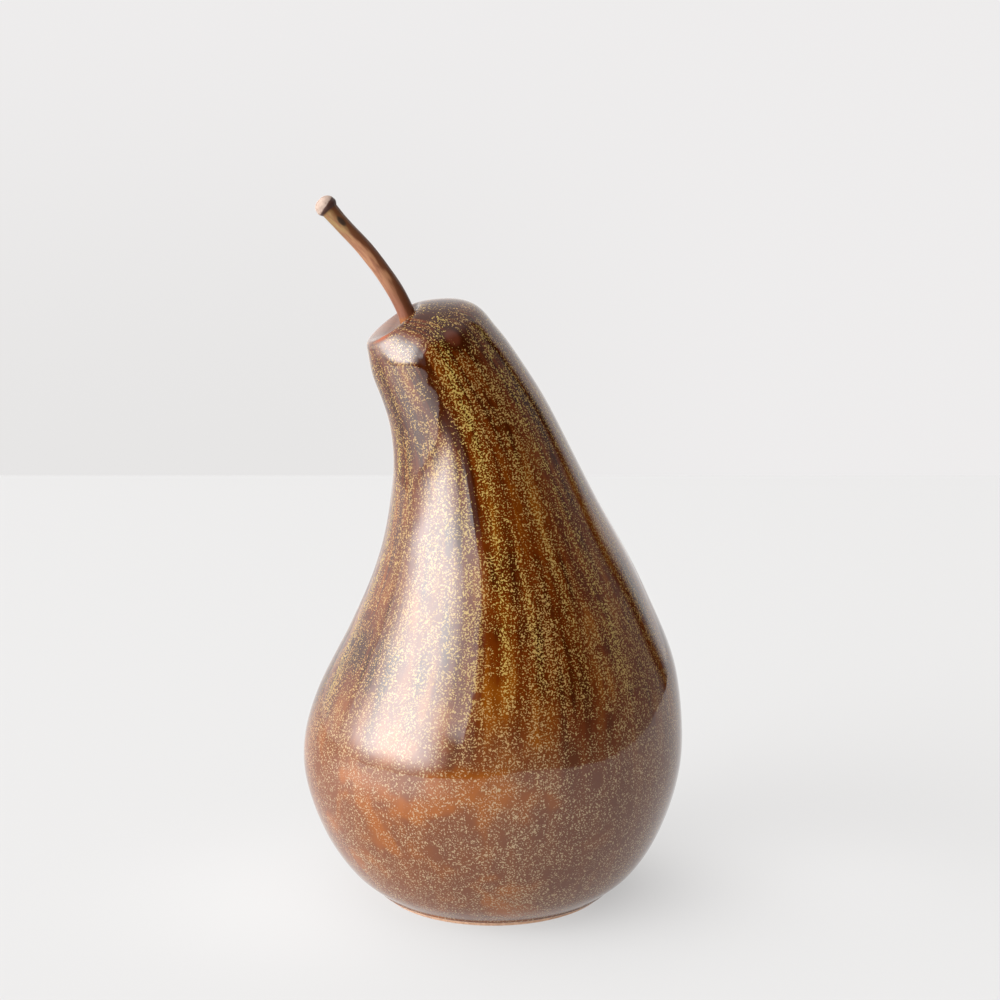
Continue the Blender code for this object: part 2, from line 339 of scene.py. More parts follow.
def add_float(mesh, name, grid):
    """Named value at each vertex, for the finish to read; the two end points take the nearest ring's mean."""
    values = np.concatenate([grid.ravel(), [grid[0].mean(), grid[-1].mean()]]).astype(np.float32)
    mesh.attributes.new(name, "FLOAT", "POINT").data.foreach_set("value", values)


def add_vector(mesh, name, grid):
    values = np.concatenate([grid.reshape(-1, 3), [grid[0].mean(axis=0), grid[-1].mean(axis=0)]])
    made = mesh.attributes.new(name, "FLOAT_VECTOR", "POINT")
    made.data.foreach_set("vector", values.astype(np.float32).ravel())


# The glaze's patterns are drawn on a straight tube, in mm, so that they run down the side as the glaze did.
FLOW_RADIUS = 30.0
flow = np.stack([FLOW_RADIUS * np.cos(row_angle), FLOW_RADIUS * np.sin(row_angle),
                 np.tile(row_stop[:, None], (1, MERIDIANS))], axis=-1)
add_vector(body_mesh, "flow", flow)
# Where the glaze ran thickest the golden crystals crowd together. Each run is (its places down the side, its
# width in mm, its strength), and a place is (distance from the crown's centre, bearing from the front).
FRONT_RUNS = ((((9.0, 62.0), (20.0, 19.0), (31.0, 7.0), (44.0, 4.0), (68.0, 4.0), (122.0, 1.5)), 2.4, 1.0),
              (((60.0, 9.0), (80.0, 13.0), (118.0, 14.5)), 1.3, 0.55),
              (((22.0, 58.0), (37.0, 47.0), (50.0, 45.5), (120.0, 45.5)), 1.9, 0.65),
              (((38.0, -60.0), (61.0, -69.0), (95.0, -76.0), (110.0, -74.0), (130.0, -66.0)), 1.6, 0.8),
              (((50.0, 27.0), (85.0, 29.0), (115.0, 31.0)), 1.0, 0.4),
              (((46.0, -12.0), (84.0, -14.0), (126.0, -15.0)), 5.0, 0.5))
RUN_TOP_FADE = (-4.0, 6.0)
RUN_END_FADE = (8.0, -22.0)
BACK_RUNS = 17
BACK_FROM = 72.0
BACK_SPAN = 204.0
RUN_SEED = 11

# The rings now take in the hole's, so every place gets its radius and bearing anew.
radius_at = np.concatenate([np.full(len(bore), dish_radius), profile[:, 0]])
bearing = degrees_apart(np.degrees(row_angle) + 90.0, 0.0)
gold = np.zeros_like(bearing)


def off_line(line):
    """How far each place on the body lies to the side of a line drawn down it, in mm."""
    line_stops, line_bearings = np.array(line).T
    centre = np.interp(row_stop, line_stops, line_bearings)[:, None]
    return np.radians(degrees_apart(bearing, centre)) * radius_at[:, None]


def crowded_run(line, width, strength):
    """Crowding of the crystals along one run: full on its line, and fading to its sides and both its ends."""
    top, bottom = line[0][0], line[-1][0]
    ends = smoothstep(*RUN_TOP_FADE, row_stop - top) * smoothstep(*RUN_END_FADE, row_stop - bottom)
    return strength * np.exp(-(off_line(line) / width) ** 2) * ends[:, None]


for run in FRONT_RUNS:
    gold = np.maximum(gold, crowded_run(*run))
# The runs on the back are drawn at random.
draw = np.random.default_rng(RUN_SEED)
for k in range(BACK_RUNS):
    start = BACK_FROM + BACK_SPAN * (k + draw.uniform(0.1, 0.9)) / BACK_RUNS
    top = draw.uniform(10.0, 60.0)
    drift = draw.uniform(-6.0, 6.0)
    bottom = draw.uniform(90.0, 140.0)
    width = draw.uniform(1.0, 2.4)
    strength = draw.uniform(0.35, 1.0)
    gold = np.maximum(gold, crowded_run(((top, start), (bottom, start + drift)), width, strength))
add_float(body_mesh, "gold", gold)

# Low down the glaze pooled and clouded, from one distance down the side to another.
CLOUDED = (112.0, 146.0)
add_float(body_mesh, "low", np.tile(smoothstep(*CLOUDED, row_stop)[:, None], (1, MERIDIANS)))

# Over the crown's left lip a pale blush is painted: a painted reflection of the room's sheen on the lip.
# An amber pool lies inside the lip.
# Each patch is (bearing, distance from the crown's centre, reach in degrees, reach in mm, strength).
ALL_ROUND = 10.0 ** 4
LIP_SHEEN_PATCHES = ((-125.0, 6.5, 62.0, 3.6, 1.0), (-40.0, 11.0, 18.0, 4.5, 0.4), (0.0, 2.0, ALL_ROUND, 3.5, 0.8))
CREASE_PATCHES = ((-28.0, 8.4, 17.0, 0.75, 1.0),)
# No crystals grew on one rust-brown spot at the front, on part of the rim and along a narrow clean band,
# which follows the main run down the neck on its left.
BARE_PATCHES = ((28.5, 21.3, 9.5, 3.8, 1.0), (62.0, 13.0, 45.0, 3.6, 0.45))
CLEAN_BAND = ((18.0, -4.0), (30.0, -12.0), (40.0, -10.0), (52.0, -5.0), (64.0, -4.0), (78.0, -5.0))
CLEAN_BAND_WIDTH = 1.7
CLEAN_BAND_STRENGTH = 0.6
CLEAN_BAND_TOP_FADE = (14.0, 22.0)
CLEAN_BAND_END_FADE = (84.0, 62.0)


def patches(rows):
    """The strongest of several soft patches at each place on the body."""
    return np.max([patch(*row[:4]) * row[4] for row in rows], axis=0)


band_ends = smoothstep(*CLEAN_BAND_TOP_FADE, row_stop) * smoothstep(*CLEAN_BAND_END_FADE, row_stop)
band = CLEAN_BAND_STRENGTH * np.exp(-(off_line(CLEAN_BAND) / CLEAN_BAND_WIDTH) ** 2) * band_ends[:, None]
add_float(body_mesh, "bare", np.maximum(patches(BARE_PATCHES), band))
add_float(body_mesh, "lip", patches(LIP_SHEEN_PATCHES))
add_float(body_mesh, "crease", patches(CREASE_PATCHES))


class Nodes:
    """Short ways to add and join the nodes of a finish, a light or the room."""

    def __init__(self, owner):
        owner.use_nodes = True
        self.tree = owner.node_tree

    def node(self, kind, inputs=(), **settings):
        made = self.tree.nodes.new(kind)
        for key, value in settings.items():
            setattr(made, key, value)
        for key, value in dict(inputs).items():
            self.put(value, made.inputs[key])
        return made

    def put(self, value, socket):
        """Join a socket to an output, or give it a constant."""
        if isinstance(value, bpy.types.NodeSocket):
            self.tree.links.new(value, socket)
        else:
            socket.default_value = value

    def math(self, operation, *values):
        return self.node("ShaderNodeMath", dict(enumerate(values)), operation=operation).outputs[0]

    def add(self, first, second):
        return self.math("ADD", first, second)

    def less(self, first, second):
        return self.math("SUBTRACT", first, second)

    def times(self, first, second):
        return self.math("MULTIPLY", first, second)

    def step(self, value, low, high):
        """0 below low, 1 above high, and smooth between."""
        return self.ease(value, low, high, 0.0, 1.0)

    def ease(self, value, low, high, to_low, to_high):
        return self.node("ShaderNodeMapRange", {0: value, 1: low, 2: high, 3: to_low, 4: to_high},
                         interpolation_type="SMOOTHSTEP").outputs[0]

    def span(self, value, low, high, to_low, to_high):
        """Straight change from to_low to to_high."""
        return self.node("ShaderNodeMapRange", {0: value, 1: low, 2: high, 3: to_low, 4: to_high}).outputs[0]

    def noise(self, where, wavelength, detail=2.0, roughness=0.5, distortion=0.0):
        """Soft noise, 0 to 1, its main lumps one wavelength apart; where and wavelength share a unit."""
        made = self.node("ShaderNodeTexNoise", {"Vector": where, "Scale": 1.0 / wavelength, "Detail": detail,
                                                "Roughness": roughness, "Distortion": distortion})
        return made.outputs["Fac"]

    def stretched(self, where, scale, shift=(0.0, 0.0, 0.0)):
        return self.node("ShaderNodeMapping", {"Vector": where, "Scale": scale, "Location": shift}).outputs[0]

    def mix(self, share, first, second):
        made = self.node("ShaderNodeMix", data_type="RGBA")
        self.put(share, made.inputs["Factor"])
        for value, socket in ((first, made.inputs[6]), (second, made.inputs[7])):
            self.put(value if isinstance(value, bpy.types.NodeSocket) else (*value, 1.0), socket)
        return made.outputs[2]

    def named(self, name):
        return self.node("ShaderNodeAttribute", attribute_name=name)

    def split(self, value):
        """The three parts of a vector."""
        return self.node("ShaderNodeSeparateXYZ", {0: value}).outputs


class Finish(Nodes):
    """A new Principled material."""

    def __init__(self, name):
        self.material = bpy.data.materials.new(name)
        super().__init__(self.material)
        self.shader = self.tree.nodes["Principled BSDF"]

    def place(self):
        """Place on the piece itself, in metres."""
        return self.node("ShaderNodeTexCoord").outputs["Object"]

    def rough(self, height, strength, depth):
        """Raise a fine surface texture, its depth in metres."""
        bump = self.node("ShaderNodeBump", {"Height": height, "Strength": strength, "Distance": depth})
        self.put(bump.outputs[0], self.shader.inputs["Normal"])


glaze = Finish("tea_dust_glaze")
place = glaze.place()
runs_at = glaze.named("flow").outputs["Vector"]
right_of, _, stop_here = glaze.split(runs_at)
gold_here = glaze.named("gold").outputs["Fac"]
low_here = glaze.named("low").outputs["Fac"]
lip_sheen_here = glaze.named("lip").outputs["Fac"]
crease_here = glaze.named("crease").outputs["Fac"]
bare_here = glaze.named("bare").outputs["Fac"]

# The glaze breaks from near black, where it is thick, to amber where it is thin: in narrow streaks (mm, as
# the flow is) and in clouds (metres, as places are). The neck's glaze is the thickest.
DEEP_BROWN = (0.038, 0.0066, 0.0003)
RED_BROWN = (0.098, 0.0170, 0.0006)
AMBER = (0.185, 0.048, 0.002)
STREAK = 2.6
STREAK_DRAWN_OUT = (1.0, 1.0, 0.09)
STREAK_SHARE = 0.6
CLOUD = 0.016
LOW_THINS = 0.055
BARE_THICKENS = 0.22
NECK = (75.0, 25.0)
NECK_THICKENS = 0.055
RED_FROM = (0.36, 0.52)
AMBER_FROM = (0.50, 0.66)
streaks = glaze.noise(glaze.stretched(runs_at, STREAK_DRAWN_OUT), STREAK, 3.0, 0.55)
clouds = glaze.noise(place, CLOUD, 3.0, 0.55, 0.4)
thin = glaze.add(glaze.times(streaks, STREAK_SHARE), glaze.times(clouds, 1.0 - STREAK_SHARE))
thin = glaze.add(thin, glaze.times(low_here, LOW_THINS))
thin = glaze.less(thin, glaze.times(bare_here, BARE_THICKENS))
thin = glaze.less(thin, glaze.times(glaze.step(stop_here, *NECK), NECK_THICKENS))
ground = glaze.mix(glaze.step(thin, *RED_FROM), DEEP_BROWN, RED_BROWN)
ground = glaze.mix(glaze.step(thin, *AMBER_FROM), ground, AMBER)

# Below the widest part it clouds over: rust with amber blotches on the left, greyer on the right.
FOOT_AMBER = (0.31, 0.088, 0.010)
FOOT_RUST = (0.19, 0.058, 0.018)
FOOT_GREY = (0.15, 0.057, 0.030)
FOOT_BLOTCH = 0.013
FOOT_BLOTCH_FROM = (0.47, 0.64)
FOOT_BLOTCH_RANGE = (0.3, 0.7)
FOOT_BLOTCH_PULL = 10.0
GREY_FROM = (-14.0, 16.0)
FOOT_CLOUDING = 0.78
blotches = glaze.noise(place, FOOT_BLOTCH, 2.0, 0.55, 0.3)
foot_tone = glaze.mix(glaze.step(blotches, *FOOT_BLOTCH_FROM), FOOT_RUST, FOOT_AMBER)
wander = glaze.span(blotches, *FOOT_BLOTCH_RANGE, FOOT_BLOTCH_PULL, -FOOT_BLOTCH_PULL)
to_right = glaze.add(right_of, wander)
foot_tone = glaze.mix(glaze.step(to_right, *GREY_FROM), foot_tone, FOOT_GREY)
ground = glaze.mix(glaze.times(low_here, FOOT_CLOUDING), ground, foot_tone)

# The lip's painted pale sheen (a painted reflection), the amber pool inside it, and the rust spot where no
# crystals grew.
PAINTED_LIP_SHEEN = (0.34, 0.25, 0.215)
PAINTED_LIP_SHEEN_SHARE = 0.85
POOL = (0.34, 0.060, 0.004)
RUST = (0.095, 0.022, 0.009)
RUST_FROM = (0.50, 0.88)
# Painted reflection: the lip's pale sheen is painted into the glaze's colour.
ground = glaze.mix(glaze.times(lip_sheen_here, PAINTED_LIP_SHEEN_SHARE), ground, PAINTED_LIP_SHEEN)
ground = glaze.mix(crease_here, ground, POOL)
ground = glaze.mix(glaze.step(bare_here, *RUST_FROM), ground, RUST)

# Golden crystals: short worms of fine noise that rise above a level. The level sinks where they crowd, along
# the beds and runs, and rises where the glaze stayed clear. Low down the clouds stand in for the beds. Worms
# and clear spots are measured in metres, beds in mm.
TAN = (0.39, 0.245, 0.080)
GOLD = (0.44, 0.320, 0.080)
CREAM = (0.44, 0.325, 0.185)
WORM = 0.00044
BED = 4.0
BED_DRAWN_OUT = (1.0, 1.0, 0.07)
BED_SHIFT = (40.0, 0.0, 0.0)
BED_RANGE = (0.32, 0.68)
CLOUD_RANGE = (0.35, 0.65)
CLOUD_CROWDING = (0.25, 0.65)
CLEAR_SPOT = 0.0042
CLEAR_SPOT_FROM = (0.60, 0.70)
SPARSE_LEVEL = 0.625
DENSE_LEVEL = 0.505
GOLD_SINKS = 0.065
LOW_RAISES = 0.008
CLEAR_RAISES = 0.12
LIP_RAISES = 0.25
BARE_RAISES = 0.22
CRYSTAL_EDGE = 0.045
CRYSTAL_COVER = 0.9
worms = glaze.noise(place, WORM, 1.0, 0.5, 0.4)
bed = glaze.noise(glaze.stretched(runs_at, BED_DRAWN_OUT, BED_SHIFT), BED, 3.0, 0.6)
clear = glaze.noise(place, CLEAR_SPOT, 1.0, 0.4)
high_beds = glaze.times(glaze.span(bed, *BED_RANGE, 0.0, 1.0), glaze.less(1.0, low_here))
low_beds = glaze.times(glaze.span(clouds, *CLOUD_RANGE, *CLOUD_CROWDING), low_here)
level = glaze.span(glaze.add(high_beds, low_beds), 0.0, 1.0, SPARSE_LEVEL, DENSE_LEVEL)
level = glaze.less(level, glaze.times(gold_here, GOLD_SINKS))
level = glaze.add(level, glaze.times(low_here, LOW_RAISES))
level = glaze.add(level, glaze.times(glaze.step(clear, *CLEAR_SPOT_FROM), CLEAR_RAISES))
level = glaze.add(level, glaze.times(glaze.math("MAXIMUM", lip_sheen_here, crease_here), LIP_RAISES))
level = glaze.add(level, glaze.times(bare_here, BARE_RAISES))
crystal = glaze.step(glaze.less(worms, level), 0.0, CRYSTAL_EDGE)
crystal_colour = glaze.mix(low_here, glaze.mix(gold_here, TAN, GOLD), CREAM)
glaze.put(glaze.mix(glaze.times(crystal, CRYSTAL_COVER), ground, crystal_colour),
          glaze.shader.inputs["Base Color"])

# The fired gloss: glass-smooth, a little duller on the crystals, with a faint orange peel and combed runs.
GLOSS = 0.05
CRYSTAL_GLOSS = 0.10
PEEL = 0.0035
COMBED = 1.3
COMBED_DRAWN_OUT = (1.0, 1.0, 0.03)
PEEL_SHARE = 0.6
COMBED_SHARE = 0.5
GLOSS_DEPTH = 0.00003
GLASS_IOR = 1.5
glaze.put(glaze.span(crystal, 0.0, 1.0, GLOSS, CRYSTAL_GLOSS), glaze.shader.inputs["Roughness"])
glaze.shader.inputs["IOR"].default_value = GLASS_IOR
peel = glaze.noise(place, PEEL, 2.0, 0.5)
combed = glaze.noise(glaze.stretched(runs_at, COMBED_DRAWN_OUT), COMBED, 1.0, 0.5)
glaze.rough(glaze.add(glaze.times(peel, PEEL_SHARE), glaze.times(combed, COMBED_SHARE)), 1.0, GLOSS_DEPTH)

# Bare fired clay round the foot, underneath and inside: pale peach with a fine dark grit.
PEACH_CLAY = (0.70, 0.43, 0.28)
TOASTED_CLAY = (0.50, 0.27, 0.16)
GRIT = 0.0009
GRIT_FROM = (0.35, 0.70)
GRIT_DEPTH = 0.00012
CLAY_ROUGHNESS = 0.75
clay = Finish("bare_clay")
grit = clay.noise(clay.place(), GRIT, 4.0, 0.65)
clay.put(clay.mix(clay.step(grit, *GRIT_FROM), PEACH_CLAY, TOASTED_CLAY), clay.shader.inputs["Base Color"])
clay.shader.inputs["Roughness"].default_value = CLAY_ROUGHNESS
clay.rough(grit, 0.8, GRIT_DEPTH)

body = bpy.data.objects.new("pear_body_glazed", body_mesh)
bpy.context.scene.collection.objects.link(body)
body_mesh.materials.append(glaze.material)
body_mesh.materials.append(clay.material)
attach(body, "root")
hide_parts("pear_body")

# ------------------------------------------------------------------------------------------------------
# Stalk: a real dried pear stalk, cut where it left the branch and glued into the crown's hole. Its bark has
# shrunk into fine lengthwise ridges, and its cut end is a swollen cork collar with a pale domed scar.

# Along the stalk, as (distance above its foot, value) pairs: its lean to the left in degrees, and its radius.
STALK_LEAN = ((0.0, 12.0), (5.0, 24.0), (13.0, 32.5), (21.0, 38.0), (30.0, 43.0), (41.0, 40.0))
STALK_RADII = ((-10.0, 2.3), (0.0, 2.35), (8.0, 2.3), (16.0, 2.25), (26.0, 2.15), (34.0, 2.1), (37.4, 2.25),
               (37.9, 2.6), (38.3, 2.85), (38.9, 2.92), (39.2, 2.84), (39.8, 2.76), (40.4, 2.4), (40.9, 1.85),
               (41.2, 1.2), (41.3, 0.6))
STALK_SIDES = 56
STALK_STEP = 0.35
KNOB_FROM = 37.0
KNOB_ROWS = 26
BARK_RADIUS = 3.0
RIDGE_SIZE = (1.2, 1.2, 10.0)
RIDGE_HEIGHT = 0.06
RIDGE_SEED = 5
LUMP_SIZE = (3.5, 3.5, 7.0)
LUMP_HEIGHT = 0.16
LUMP_SEED = 6
UNEVEN_FROM = (-1.0, 3.0)


def stalk_line(distance):
    """Centre of the stalk and its direction at a distance above its foot, in mm."""
    lean = math.radians(STALK_LEAN[0][1])
    if distance <= 0:
        heading = Vector((-math.sin(lean), 0.0, math.cos(lean)))
        return Vector(STALK_FOOT) + heading * distance, heading
    pieces = max(1, math.ceil(distance))
    step = distance / pieces
    point = Vector(STALK_FOOT)
    for k in range(pieces):
        lean = math.radians(station_value(STALK_LEAN, 1, (k + 0.5) * step))
        heading = Vector((-math.sin(lean), 0.0, math.cos(lean)))
        point += heading * step
    return point, heading


stalk_from, stalk_to = STALK_RADII[0][0], STALK_RADII[-1][0]
stalk_stops = np.concatenate([np.arange(stalk_from, KNOB_FROM, STALK_STEP),
                              np.linspace(KNOB_FROM, stalk_to, KNOB_ROWS)])
radius_stops, radii = np.array(STALK_RADII).T
sides = np.arange(STALK_SIDES) * 2 * math.pi / STALK_SIDES
backwards = Vector((0.0, 1.0, 0.0))
stalk_rows = []
for stop in stalk_stops:
    centre, heading = stalk_line(float(stop))
    across = Vector((heading.z, 0.0, -heading.x))
    radius = np.interp(stop, radius_stops, radii)
    outwards = [across * math.cos(side) + backwards * math.sin(side) for side in sides]
    stalk_rows.append([list(centre + way * radius) for way in outwards])
stalk_points = np.array(stalk_rows)
stalk_normals = -grid_normals(stalk_points)
bark = np.stack([np.tile(BARK_RADIUS * np.cos(sides), (len(stalk_stops), 1)),
                 np.tile(BARK_RADIUS * np.sin(sides), (len(stalk_stops), 1)),
                 np.tile(stalk_stops[:, None], (1, STALK_SIDES))], axis=-1)
ridges = noise_field(bark, RIDGE_SIZE, RIDGE_SEED) * RIDGE_HEIGHT
lumps = noise_field(bark, LUMP_SIZE, LUMP_SEED) * LUMP_HEIGHT
above = smoothstep(*UNEVEN_FROM, stalk_stops)[:, None]
stalk_points += stalk_normals * ((ridges + lumps) * above)[..., None]
stalk_v = (stalk_stops - stalk_from) / (stalk_to - stalk_from)
stalk_mesh = shell_mesh("pear_stalk_dried", stalk_points[::-1], stalk_v[::-1].tolist())
add_vector(stalk_mesh, "bark", bark[::-1])

# Bark: pale below and olive above, reddened in its fibres, with painted shade darkening its right side, away
# from the window. Places on it are in mm: to the right, to the back, and up from the foot.
PALE_BARK = (0.33, 0.150, 0.070)
OLIVE_BARK = (0.27, 0.160, 0.055)
RED_BARK = (0.19, 0.058, 0.024)
PAINTED_SHADE_BARK = (0.105, 0.028, 0.007)
FIBRE = 0.75
FIBRE_DRAWN_OUT = (1.0, 1.0, 0.14)
STAIN = 2.6
STAIN_DRAWN_OUT = (1.0, 1.0, 0.3)
OLIVE_FROM = (25.0, 33.0)
RED_FOOT_FROM = (17.0, 4.0)
RED_FIBRE_FROM = (0.46, 0.62)
RED_FIBRE_SHARE = 0.7
PAINTED_SHADE_LEAN = 0.33
PAINTED_SHADE_WANDER = 2.2
PAINTED_SHADE_FROM = (0.12, 0.50)
PAINTED_SHADE_SHARE = 0.9
stem = Finish("dried_stalk")
bark_at = stem.named("bark").outputs["Vector"]
right_of, back_of, up_at = stem.split(bark_at)
fibre = stem.noise(stem.stretched(bark_at, FIBRE_DRAWN_OUT), FIBRE, 4.0, 0.6)
stain = stem.noise(stem.stretched(bark_at, STAIN_DRAWN_OUT), STAIN, 2.0, 0.5)
fibre_off = stem.less(fibre, 0.5)
bark_tone = stem.mix(stem.step(up_at, *OLIVE_FROM), PALE_BARK, OLIVE_BARK)
bark_tone = stem.mix(stem.step(up_at, *RED_FOOT_FROM), bark_tone, RED_BARK)
bark_tone = stem.mix(stem.times(stem.step(fibre, *RED_FIBRE_FROM), RED_FIBRE_SHARE), bark_tone, RED_BARK)
# Painted shade: the stalk's right side, away from the window, is painted darker.
painted_shade_side = stem.add(stem.times(right_of, PAINTED_SHADE_LEAN),
                     stem.times(stem.less(stain, 0.5), PAINTED_SHADE_WANDER))
bark_tone = stem.mix(stem.times(stem.step(painted_shade_side, *PAINTED_SHADE_FROM), PAINTED_SHADE_SHARE), bark_tone, PAINTED_SHADE_BARK)

# One dark scab in front near the top, and a skirt of glaze that wicked up the foot.
SCAB = (0.032, 0.014, 0.006)
SCAB_RIGHT = 0.9
SCAB_UP = 33.4
SCAB_SIZE = (1.1, 1.9)
SCAB_RAGGED = 1.6
SCAB_EDGE = (1.2, 0.3)
SCAB_IN_FRONT = (0.5, -0.5)
GLAZED_FOOT = (0.26, 0.078, 0.008)
GLAZED_FOOT_TOP = (3.4, 2.2)
scab_across = stem.math("DIVIDE", stem.less(right_of, SCAB_RIGHT), SCAB_SIZE[0])
scab_along = stem.math("DIVIDE", stem.less(up_at, SCAB_UP), SCAB_SIZE[1])
scab_off = stem.add(stem.math("POWER", scab_across, 2.0), stem.math("POWER", scab_along, 2.0))
scab_off = stem.add(scab_off, stem.times(fibre_off, SCAB_RAGGED))
scab = stem.times(stem.step(scab_off, *SCAB_EDGE), stem.step(back_of, *SCAB_IN_FRONT))
bark_tone = stem.mix(scab, bark_tone, SCAB)
bark_tone = stem.mix(stem.step(up_at, *GLAZED_FOOT_TOP), bark_tone, GLAZED_FOOT)

# The dark collar, and above it the pale corky scar where the stalk parted from its branch.
COLLAR = (0.060, 0.022, 0.014)
COLLAR_FROM = (37.2, 37.6)
COLLAR_RAGGED = 0.4
CORK = (0.44, 0.325, 0.265)
CORK_SHADE = (0.27, 0.175, 0.14)
CORK_GRAIN = 0.8
CORK_SHADE_FROM = (0.52, 0.68)
SCAR_FROM = (38.75, 39.1)
SCAR_TILT = 0.26
SCAR_RAGGED = 0.5
collar_at = stem.less(up_at, stem.times(fibre, COLLAR_RAGGED))
bark_tone = stem.mix(stem.step(collar_at, *COLLAR_FROM), bark_tone, COLLAR)
scar_at = stem.add(stem.less(up_at, stem.times(right_of, SCAR_TILT)), stem.times(fibre_off, SCAR_RAGGED))
scar = stem.step(scar_at, *SCAR_FROM)
cork_grain = stem.noise(bark_at, CORK_GRAIN, 3.0, 0.6)
bark_tone = stem.mix(scar, bark_tone, stem.mix(stem.step(cork_grain, *CORK_SHADE_FROM), CORK, CORK_SHADE))
BARK_ROUGHNESS = 0.45
CORK_ROUGHNESS = 0.85
BARK_SHEEN = 0.35
FIBRE_DEPTH = 0.00016
stem.put(bark_tone, stem.shader.inputs["Base Color"])
stem.put(stem.span(scar, 0.0, 1.0, BARK_ROUGHNESS, CORK_ROUGHNESS), stem.shader.inputs["Roughness"])
stem.shader.inputs["Specular IOR Level"].default_value = BARK_SHEEN
stem.rough(fibre, 0.9, FIBRE_DEPTH)

stalk = bpy.data.objects.new("pear_stalk_dried", stalk_mesh)
bpy.context.scene.collection.objects.link(stalk)
stalk_mesh.materials.append(stem.material)
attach(stalk, "root")
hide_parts("pear_stem")

# ------------------------------------------------------------------------------------------------------
# Studio: a plain pale table of white acrylic, whose right edge is an arm's length away. A wide window stands
# to the left of the camera, beside a pale wall, and the rest of the room is dim. Its sizes are in metres.

TABLE_FRONT = -1.8
TABLE_BACK = 0.53
TABLE_LEFT = -1.8
TABLE_RIGHT = 0.42


def flat_sheet(name, low, high, level):
    mesh = bpy.data.meshes.new(name)
    mesh.from_pydata([(low[0], low[1], level), (high[0], low[1], level), (high[0], high[1], level),
                      (low[0], high[1], level)], [], [(0, 1, 2, 3)])
    sheet = bpy.data.objects.new(name, mesh)
    bpy.context.scene.collection.objects.link(sheet)
    return sheet


# The table has a painted glow of its own, so that shadows on it stay pale, and what the glaze sees of it
# carries a painted reflection of the window's sheen, brighter towards the window.
TABLE_BASE = 0.112
TABLE_ROUGHNESS = 0.9
TABLE_TINT = (1.0, 0.99, 0.985, 1.0)
TABLE_PAINTED_GLOW = 0.56
PAINTED_SHEEN_GLOW = 3.4
SHEEN_BEARING = math.radians(-62.0)
SHEEN_FULL_WITHIN = math.radians(10.0)
SHEEN_GONE_BY = math.radians(52.0)
SHEEN_REACH = (0.05, 0.33)
acrylic = Finish("table_acrylic")
acrylic.shader.inputs["Base Color"].default_value = (TABLE_BASE, TABLE_BASE, TABLE_BASE, 1.0)
acrylic.shader.inputs["Roughness"].default_value = TABLE_ROUGHNESS
acrylic.shader.inputs["Specular IOR Level"].default_value = 0.0
spot_x, spot_y, _ = acrylic.split(acrylic.place())
spot_bearing = acrylic.math("ARCTAN2", spot_x, acrylic.times(spot_y, -1.0))
off_bearing = acrylic.math("ABSOLUTE", acrylic.less(spot_bearing, SHEEN_BEARING))
spot_reach = acrylic.math("SQRT", acrylic.add(acrylic.math("POWER", spot_x, 2.0),
                                              acrylic.math("POWER", spot_y, 2.0)))
painted_sheen = acrylic.times(acrylic.step(off_bearing, SHEEN_GONE_BY, SHEEN_FULL_WITHIN),
                      acrylic.step(spot_reach, *SHEEN_REACH))


def painted_pool(centre, reach, strength):
    """Soft round patch of painted light on the table, painted shade where its strength is negative; full at
    its centre in metres.
    """
    away_x = acrylic.math("DIVIDE", acrylic.less(spot_x, centre[0]), reach)
    away_y = acrylic.math("DIVIDE", acrylic.less(spot_y, centre[1]), reach)
    away = acrylic.add(acrylic.math("POWER", away_x, 2.0), acrylic.math("POWER", away_y, 2.0))
    return acrylic.times(acrylic.math("EXPONENT", acrylic.times(away, -1.0)), strength)


# Painted light, standing for light thrown back by the glaze, lies left of the foot; painted shade lies
# closest right of it, soon gone; and painted light brightens the open floor further right. Each is (centre,
# reach, strength).
PAINTED_BOUNCE_LIGHT = ((-0.040, -0.012), 0.050, 0.10)
PAINTED_CONTACT_SHADE = ((0.022, 0.002), 0.024, -0.15)
PAINTED_OPEN_FLOOR_LIGHT = ((0.085, 0.010), 0.045, 0.07)
# Painted light and painted shadow: the pools are added to the table's glow.
painted_pools = acrylic.add(acrylic.add(painted_pool(*PAINTED_BOUNCE_LIGHT), painted_pool(*PAINTED_CONTACT_SHADE)), painted_pool(*PAINTED_OPEN_FLOOR_LIGHT))
in_glaze = acrylic.node("ShaderNodeLightPath").outputs["Is Glossy Ray"]
# Painted reflection: the window's sheen, painted as glow that only the glaze's mirror rays see.
painted_window_sheen = acrylic.times(acrylic.times(painted_sheen, in_glaze), PAINTED_SHEEN_GLOW)
acrylic.put(TABLE_TINT, acrylic.shader.inputs["Emission Color"])
acrylic.put(acrylic.add(painted_window_sheen, acrylic.add(painted_pools, TABLE_PAINTED_GLOW)), acrylic.shader.inputs["Emission Strength"])
table = flat_sheet("table", (TABLE_LEFT, TABLE_FRONT), (TABLE_RIGHT, TABLE_BACK), 0.0)
table.data.materials.append(acrylic.material)


def area_light(name, place, width, height, radiance):
    """Rectangular light, facing down until it is turned; radiance in the scene's own units."""
    data = bpy.data.lights.new(name, "AREA")
    data.shape = "RECTANGLE"
    data.size = width
    data.size_y = height
    data.energy = radiance * math.pi * width * height
    light = bpy.data.objects.new(name, data)
    bpy.context.scene.collection.objects.link(light)
    light.location = place
    light.visible_camera = False
    return light


WINDOW_BEARING = math.radians(-63.0)
WINDOW_DISTANCE = 4.5
WINDOW_WIDTH = 9.6
WINDOW_HEIGHT = 6.6
WINDOW_RADIANCE = 13.5
WINDOW_SETBACK = 0.04
SOFT_HALF = 0.48
out = Vector((math.sin(WINDOW_BEARING), -math.cos(WINDOW_BEARING), 0.0))


def receivers(name, *lit):
    """Collection of the objects that a light is let to reach."""
    group = bpy.data.collections.new(name)
    for lit_object in lit:
        group.objects.link(lit_object)
    return group


pear_pieces = receivers("pear_pieces", body, stalk)
table_alone = receivers("table_alone", table)


